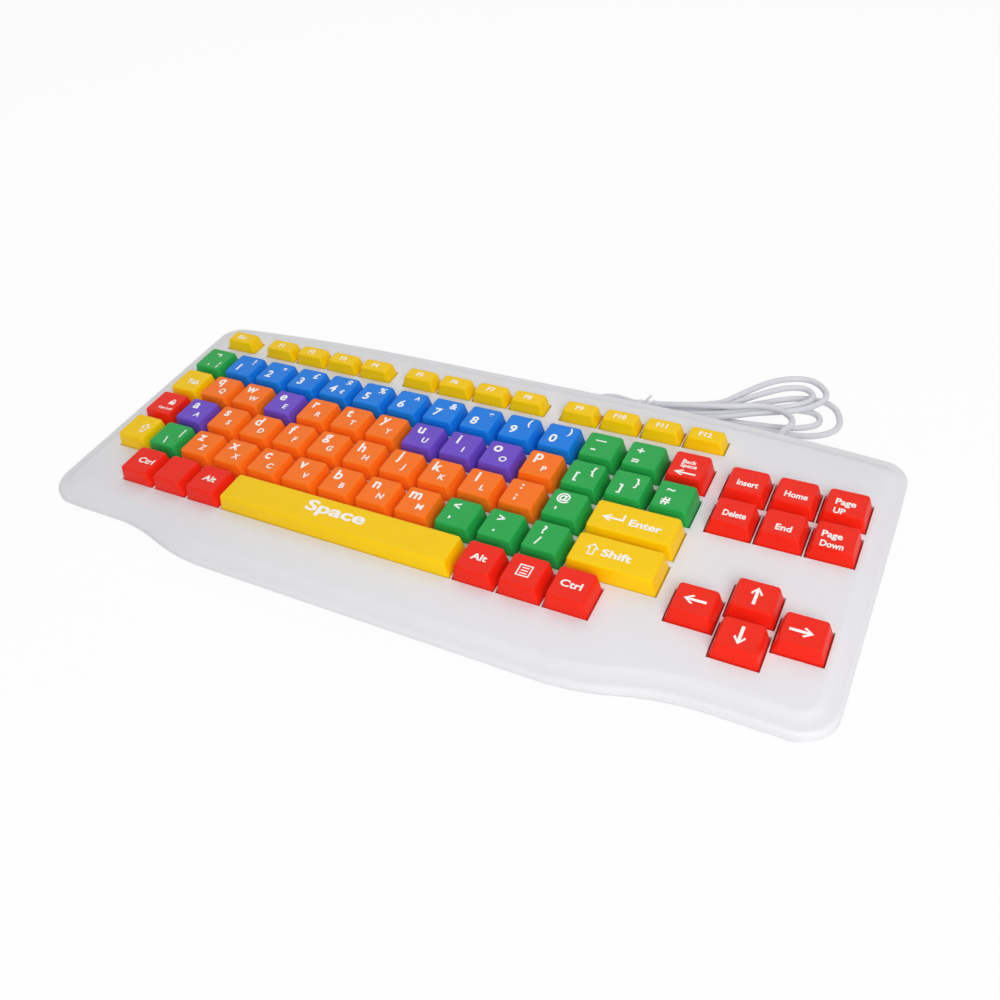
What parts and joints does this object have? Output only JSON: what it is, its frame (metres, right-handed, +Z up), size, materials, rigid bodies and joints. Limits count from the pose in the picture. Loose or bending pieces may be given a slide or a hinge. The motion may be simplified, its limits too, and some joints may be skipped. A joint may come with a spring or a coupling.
{
  "type": "children's keyboard",
  "caption": "Wired keyboard for children with very large tapered keys in bright colours, a sculpted white housing with a bowed palm rest, folding tilt legs and a tied cable.",
  "frame": {"origin": "on the table under the middle of the housing", "axes": "+X to the user's right along the housing, +Y towards the rear, +Z up"},
  "size_m": [0.468, 0.2968, 0.0387],
  "materials": {
    "white_shell": "smooth gloss",
    "white_plastic": "satin",
    "tie_white": "satin",
    "key_yellow": "smooth gloss",
    "key_orange": "smooth gloss",
    "key_red": "smooth gloss",
    "key_green": "smooth gloss",
    "key_blue": "smooth gloss",
    "key_purple": "smooth gloss",
    "grey_rubber": "matte",
    "circuit_film": "satin film",
    "board_green": "satin",
    "black_plastic": "matte",
    "steel": "bright"
  },
  "bodies": {
    "housing": {"top_case": "white_shell", "bottom_case": "white_shell", "rubber_dome_sheet": "grey_rubber", "membrane_circuit": "circuit_film", "controller_board": "board_green", "membrane_clamp": "steel", "board_screws": "steel", "controller_chip": "black_plastic", "cable_header": "white_plastic", "case_screws": "steel", "rubber_feet": "grey_rubber", "cable_strain_relief": "white_plastic", "inner_cable": "white_plastic", "cable_lead": "white_plastic", "cable_hank": "white_plastic", "cable_tail": "white_plastic", "cable_tie": "tie_white", "usb_plug_body": "white_plastic", "usb_plug_shell": "steel"},
    "key_escape": {"key_escape": "key_yellow"},
    "keys_f1_to_f4": {"keys_f1_to_f4": "key_yellow"},
    "keys_f5_to_f8": {"keys_f5_to_f8": "key_yellow"},
    "keys_f9_to_f12": {"keys_f9_to_f12": "key_yellow"},
    "keys_number_row_signs": {"keys_number_row_signs": "key_green"},
    "keys_digits": {"keys_digits": "key_blue"},
    "key_backspace": {"key_backspace": "key_red"},
    "key_tab": {"key_tab": "key_yellow"},
    "keys_top_letters": {"keys_top_letters": "key_orange"},
    "key_e": {"key_e": "key_purple"},
    "key_u": {"key_u": "key_purple"},
    "key_i": {"key_i": "key_purple"},
    "key_o": {"key_o": "key_purple"},
    "keys_bracket_signs": {"keys_bracket_signs": "key_green"},
    "key_caps_lock": {"key_caps_lock": "key_red"},
    "key_a": {"key_a": "key_purple"},
    "keys_home_letters": {"keys_home_letters": "key_orange"},
    "key_enter": {"key_enter": "key_yellow"},
    "key_left_shift": {"key_left_shift": "key_yellow"},
    "keys_low_row_signs": {"keys_low_row_signs": "key_green"},
    "keys_low_letters": {"keys_low_letters": "key_orange"},
    "key_right_shift": {"key_right_shift": "key_yellow"},
    "key_left_control": {"key_left_control": "key_red"},
    "key_system": {"key_system": "key_red"},
    "key_left_alt": {"key_left_alt": "key_red"},
    "key_space": {"key_space": "key_yellow"},
    "key_right_alt": {"key_right_alt": "key_red"},
    "key_menu": {"key_menu": "key_red"},
    "key_right_control": {"key_right_control": "key_red"},
    "key_insert": {"key_insert": "key_red"},
    "key_home": {"key_home": "key_red"},
    "key_page_up": {"key_page_up": "key_red"},
    "key_delete": {"key_delete": "key_red"},
    "key_end": {"key_end": "key_red"},
    "key_page_down": {"key_page_down": "key_red"},
    "key_arrow_up": {"key_arrow_up": "key_red"},
    "key_arrow_down": {"key_arrow_down": "key_red"},
    "key_arrow_left": {"key_arrow_left": "key_red"},
    "key_arrow_right": {"key_arrow_right": "key_red"},
    "tilt_leg_left": {"tilt_leg_left": "white_shell"},
    "tilt_leg_right": {"tilt_leg_right": "white_shell"}
  },
  "joints": [
    {"name": "press_escape", "type": "slide", "parent": "housing", "child": "key_escape", "axis": [0, 0.0785, -0.9969], "range_m": [0, 0.0035], "stiffness_N_per_m": 150, "springref_m": -0.002, "deforming": ["rubber_dome_sheet"]},
    {"name": "press_f1_to_f4", "type": "slide", "parent": "housing", "child": "keys_f1_to_f4", "axis": [0, 0.0785, -0.9969], "range_m": [0, 0.0035], "stiffness_N_per_m": 600, "springref_m": -0.002, "deforming": ["rubber_dome_sheet"]},
    {"name": "press_f5_to_f8", "type": "slide", "parent": "housing", "child": "keys_f5_to_f8", "axis": [0, 0.0785, -0.9969], "range_m": [0, 0.0035], "stiffness_N_per_m": 600, "springref_m": -0.002, "deforming": ["rubber_dome_sheet"]},
    {"name": "press_f9_to_f12", "type": "slide", "parent": "housing", "child": "keys_f9_to_f12", "axis": [0, 0.0785, -0.9969], "range_m": [0, 0.0035], "stiffness_N_per_m": 600, "springref_m": -0.002, "deforming": ["rubber_dome_sheet"]},
    {"name": "press_number_row_signs", "type": "slide", "parent": "housing", "child": "keys_number_row_signs", "axis": [0, 0.0785, -0.9969], "range_m": [0, 0.0035], "stiffness_N_per_m": 450, "springref_m": -0.002, "deforming": ["rubber_dome_sheet"]},
    {"name": "press_digits", "type": "slide", "parent": "housing", "child": "keys_digits", "axis": [0, 0.0785, -0.9969], "range_m": [0, 0.0035], "stiffness_N_per_m": 1500, "springref_m": -0.002, "deforming": ["rubber_dome_sheet"]},
    {"name": "press_backspace", "type": "slide", "parent": "housing", "child": "key_backspace", "axis": [0, 0.0785, -0.9969], "range_m": [0, 0.0035], "stiffness_N_per_m": 150, "springref_m": -0.002, "deforming": ["rubber_dome_sheet"]},
    {"name": "press_tab", "type": "slide", "parent": "housing", "child": "key_tab", "axis": [0, 0.0785, -0.9969], "range_m": [0, 0.0035], "stiffness_N_per_m": 150, "springref_m": -0.002, "deforming": ["rubber_dome_sheet"]},
    {"name": "press_top_letters", "type": "slide", "parent": "housing", "child": "keys_top_letters", "axis": [0, 0.0785, -0.9969], "range_m": [0, 0.0035], "stiffness_N_per_m": 900, "springref_m": -0.002, "deforming": ["rubber_dome_sheet"]},
    {"name": "press_e", "type": "slide", "parent": "housing", "child": "key_e", "axis": [0, 0.0785, -0.9969], "range_m": [0, 0.0035], "stiffness_N_per_m": 150, "springref_m": -0.002, "deforming": ["rubber_dome_sheet"]},
    {"name": "press_u", "type": "slide", "parent": "housing", "child": "key_u", "axis": [0, 0.0785, -0.9969], "range_m": [0, 0.0035], "stiffness_N_per_m": 150, "springref_m": -0.002, "deforming": ["rubber_dome_sheet"]},
    {"name": "press_i", "type": "slide", "parent": "housing", "child": "key_i", "axis": [0, 0.0785, -0.9969], "range_m": [0, 0.0035], "stiffness_N_per_m": 150, "springref_m": -0.002, "deforming": ["rubber_dome_sheet"]},
    {"name": "press_o", "type": "slide", "parent": "housing", "child": "key_o", "axis": [0, 0.0785, -0.9969], "range_m": [0, 0.0035], "stiffness_N_per_m": 150, "springref_m": -0.002, "deforming": ["rubber_dome_sheet"]},
    {"name": "press_bracket_signs", "type": "slide", "parent": "housing", "child": "keys_bracket_signs", "axis": [0, 0.0785, -0.9969], "range_m": [0, 0.0035], "stiffness_N_per_m": 600, "springref_m": -0.002, "deforming": ["rubber_dome_sheet"]},
    {"name": "press_caps_lock", "type": "slide", "parent": "housing", "child": "key_caps_lock", "axis": [0, 0.0785, -0.9969], "range_m": [0, 0.0035], "stiffness_N_per_m": 150, "springref_m": -0.002, "deforming": ["rubber_dome_sheet"]},
    {"name": "press_a", "type": "slide", "parent": "housing", "child": "key_a", "axis": [0, 0.0785, -0.9969], "range_m": [0, 0.0035], "stiffness_N_per_m": 150, "springref_m": -0.002, "deforming": ["rubber_dome_sheet"]},
    {"name": "press_home_letters", "type": "slide", "parent": "housing", "child": "keys_home_letters", "axis": [0, 0.0785, -0.9969], "range_m": [0, 0.0035], "stiffness_N_per_m": 1350, "springref_m": -0.002, "deforming": ["rubber_dome_sheet"]},
    {"name": "press_enter", "type": "slide", "parent": "housing", "child": "key_enter", "axis": [0, 0.0785, -0.9969], "range_m": [0, 0.0035], "stiffness_N_per_m": 150, "springref_m": -0.002, "deforming": ["rubber_dome_sheet"]},
    {"name": "press_left_shift", "type": "slide", "parent": "housing", "child": "key_left_shift", "axis": [0, 0.0785, -0.9969], "range_m": [0, 0.0035], "stiffness_N_per_m": 150, "springref_m": -0.002, "deforming": ["rubber_dome_sheet"]},
    {"name": "press_low_row_signs", "type": "slide", "parent": "housing", "child": "keys_low_row_signs", "axis": [0, 0.0785, -0.9969], "range_m": [0, 0.0035], "stiffness_N_per_m": 600, "springref_m": -0.002, "deforming": ["rubber_dome_sheet"]},
    {"name": "press_low_letters", "type": "slide", "parent": "housing", "child": "keys_low_letters", "axis": [0, 0.0785, -0.9969], "range_m": [0, 0.0035], "stiffness_N_per_m": 1050, "springref_m": -0.002, "deforming": ["rubber_dome_sheet"]},
    {"name": "press_right_shift", "type": "slide", "parent": "housing", "child": "key_right_shift", "axis": [0, 0.0785, -0.9969], "range_m": [0, 0.0035], "stiffness_N_per_m": 150, "springref_m": -0.002, "deforming": ["rubber_dome_sheet"]},
    {"name": "press_left_control", "type": "slide", "parent": "housing", "child": "key_left_control", "axis": [0, 0.0785, -0.9969], "range_m": [0, 0.0035], "stiffness_N_per_m": 150, "springref_m": -0.002, "deforming": ["rubber_dome_sheet"]},
    {"name": "press_system", "type": "slide", "parent": "housing", "child": "key_system", "axis": [0, 0.0785, -0.9969], "range_m": [0, 0.0035], "stiffness_N_per_m": 150, "springref_m": -0.002, "deforming": ["rubber_dome_sheet"]},
    {"name": "press_left_alt", "type": "slide", "parent": "housing", "child": "key_left_alt", "axis": [0, 0.0785, -0.9969], "range_m": [0, 0.0035], "stiffness_N_per_m": 150, "springref_m": -0.002, "deforming": ["rubber_dome_sheet"]},
    {"name": "press_space", "type": "slide", "parent": "housing", "child": "key_space", "axis": [0, 0.0785, -0.9969], "range_m": [0, 0.0035], "stiffness_N_per_m": 150, "springref_m": -0.002, "deforming": ["rubber_dome_sheet"]},
    {"name": "press_right_alt", "type": "slide", "parent": "housing", "child": "key_right_alt", "axis": [0, 0.0785, -0.9969], "range_m": [0, 0.0035], "stiffness_N_per_m": 150, "springref_m": -0.002, "deforming": ["rubber_dome_sheet"]},
    {"name": "press_menu", "type": "slide", "parent": "housing", "child": "key_menu", "axis": [0, 0.0785, -0.9969], "range_m": [0, 0.0035], "stiffness_N_per_m": 150, "springref_m": -0.002, "deforming": ["rubber_dome_sheet"]},
    {"name": "press_right_control", "type": "slide", "parent": "housing", "child": "key_right_control", "axis": [0, 0.0785, -0.9969], "range_m": [0, 0.0035], "stiffness_N_per_m": 150, "springref_m": -0.002, "deforming": ["rubber_dome_sheet"]},
    {"name": "press_insert", "type": "slide", "parent": "housing", "child": "key_insert", "axis": [0, 0.0785, -0.9969], "range_m": [0, 0.0035], "stiffness_N_per_m": 150, "springref_m": -0.002, "deforming": ["rubber_dome_sheet"]},
    {"name": "press_home", "type": "slide", "parent": "housing", "child": "key_home", "axis": [0, 0.0785, -0.9969], "range_m": [0, 0.0035], "stiffness_N_per_m": 150, "springref_m": -0.002, "deforming": ["rubber_dome_sheet"]},
    {"name": "press_page_up", "type": "slide", "parent": "housing", "child": "key_page_up", "axis": [0, 0.0785, -0.9969], "range_m": [0, 0.0035], "stiffness_N_per_m": 150, "springref_m": -0.002, "deforming": ["rubber_dome_sheet"]},
    {"name": "press_delete", "type": "slide", "parent": "housing", "child": "key_delete", "axis": [0, 0.0785, -0.9969], "range_m": [0, 0.0035], "stiffness_N_per_m": 150, "springref_m": -0.002, "deforming": ["rubber_dome_sheet"]},
    {"name": "press_end", "type": "slide", "parent": "housing", "child": "key_end", "axis": [0, 0.0785, -0.9969], "range_m": [0, 0.0035], "stiffness_N_per_m": 150, "springref_m": -0.002, "deforming": ["rubber_dome_sheet"]},
    {"name": "press_page_down", "type": "slide", "parent": "housing", "child": "key_page_down", "axis": [0, 0.0785, -0.9969], "range_m": [0, 0.0035], "stiffness_N_per_m": 150, "springref_m": -0.002, "deforming": ["rubber_dome_sheet"]},
    {"name": "press_arrow_up", "type": "slide", "parent": "housing", "child": "key_arrow_up", "axis": [0, 0.0785, -0.9969], "range_m": [0, 0.0035], "stiffness_N_per_m": 150, "springref_m": -0.002, "deforming": ["rubber_dome_sheet"]},
    {"name": "press_arrow_down", "type": "slide", "parent": "housing", "child": "key_arrow_down", "axis": [0, 0.0785, -0.9969], "range_m": [0, 0.0035], "stiffness_N_per_m": 150, "springref_m": -0.002, "deforming": ["rubber_dome_sheet"]},
    {"name": "press_arrow_left", "type": "slide", "parent": "housing", "child": "key_arrow_left", "axis": [0, 0.0785, -0.9969], "range_m": [0, 0.0035], "stiffness_N_per_m": 150, "springref_m": -0.002, "deforming": ["rubber_dome_sheet"]},
    {"name": "press_arrow_right", "type": "slide", "parent": "housing", "child": "key_arrow_right", "axis": [0, 0.0785, -0.9969], "range_m": [0, 0.0035], "stiffness_N_per_m": 150, "springref_m": -0.002, "deforming": ["rubber_dome_sheet"]},
    {"name": "fold_left_leg", "type": "hinge", "parent": "housing", "child": "tilt_leg_left", "pos_m": [-0.20745, 0.07787, 0.0037], "axis": [1, 0, 0], "range_deg": [0, 80]},
    {"name": "fold_right_leg", "type": "hinge", "parent": "housing", "child": "tilt_leg_right", "pos_m": [0.20745, 0.07787, 0.0037], "axis": [1, 0, 0], "range_deg": [0, 80]}
  ]
}
